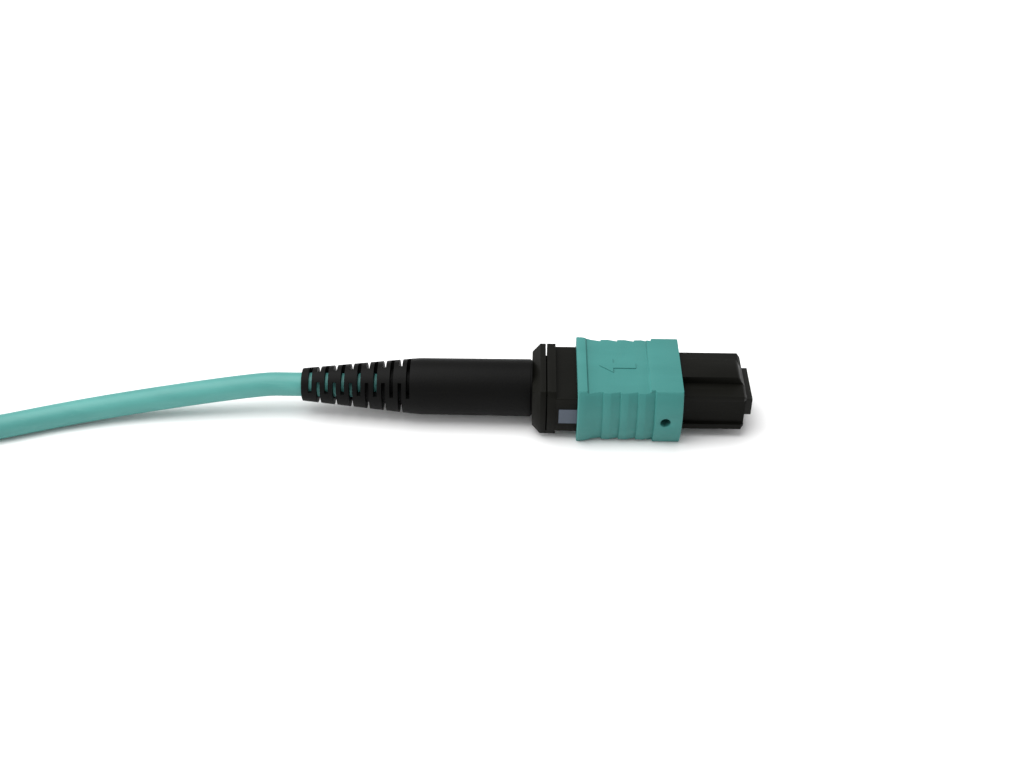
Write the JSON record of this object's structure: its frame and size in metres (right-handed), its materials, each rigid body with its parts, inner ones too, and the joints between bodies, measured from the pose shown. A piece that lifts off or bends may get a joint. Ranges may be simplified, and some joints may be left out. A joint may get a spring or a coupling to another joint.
{
  "type": "mpo fibre connector",
  "caption": "Multi-fibre push-on connector: ferrule with a fibre row and pin holes, keyed nose, spring-loaded pull sleeve, slotted boot and a lead of round cable.",
  "frame": {"origin": "middle of the ferrule's mating face, on the connector's axis", "axes": "+X out of the mating face towards the adapter, +Z to the key side, Y across the fibre row"},
  "size_m": [0.1751, 0.0252, 0.0101],
  "materials": {
    "ferrule_resin": "fine matte glass-filled resin, polished end face",
    "fibre_glass": "polished glass ends",
    "epoxy": "cured amber glue, smooth",
    "black_rubber": "soft matte rubber",
    "black_plastic": "satin moulded plastic with a fine grain",
    "aqua_plastic": "satin aqua moulded plastic",
    "spring_steel": "drawn stainless wire",
    "mark_print": "pale print",
    "crimp_metal": "plated, lightly drawn",
    "yarn": "loose aramid fibres",
    "ribbon": "clear-coated fibre ribbon",
    "cable_jacket": "satin low-smoke jacket",
    "tie_band": "woven hook-and-loop band"
  },
  "bodies": {
    "housing": {"inner_housing": "black_plastic", "position_mark": "mark_print", "rear_body": "black_plastic", "crimp_ring": "crimp_metal", "aramid_yarn": "yarn", "cable_boot": "black_rubber", "fibre_ribbon": "ribbon", "main_spring": "spring_steel", "sleeve_spring_left": "spring_steel", "sleeve_spring_right": "spring_steel", "cable_lead": "cable_jacket", "cable_hank": "cable_jacket", "cable_tie": "tie_band"},
    "sleeve": {"pull_sleeve": "aqua_plastic"},
    "ferrule": {"mt_ferrule": "ferrule_resin", "fibre_array": "fibre_glass", "epoxy_fill": "epoxy", "rubber_boot": "black_rubber", "spring_spacer": "black_plastic"}
  },
  "joints": [
    {"name": "sleeve_slide", "type": "slide", "parent": "housing", "child": "sleeve", "axis": [-1, 0, 0], "range_m": [0, 0.0025], "stiffness_N_per_m": 100, "springref_m": -0.003, "deforming": ["sleeve_spring_left", "sleeve_spring_right"]},
    {"name": "ferrule_slide", "type": "slide", "parent": "housing", "child": "ferrule", "axis": [-1, 0, 0], "range_m": [0, 0.001], "stiffness_N_per_m": 60, "springref_m": -0.002, "deforming": ["main_spring", "fibre_ribbon"]}
  ]
}
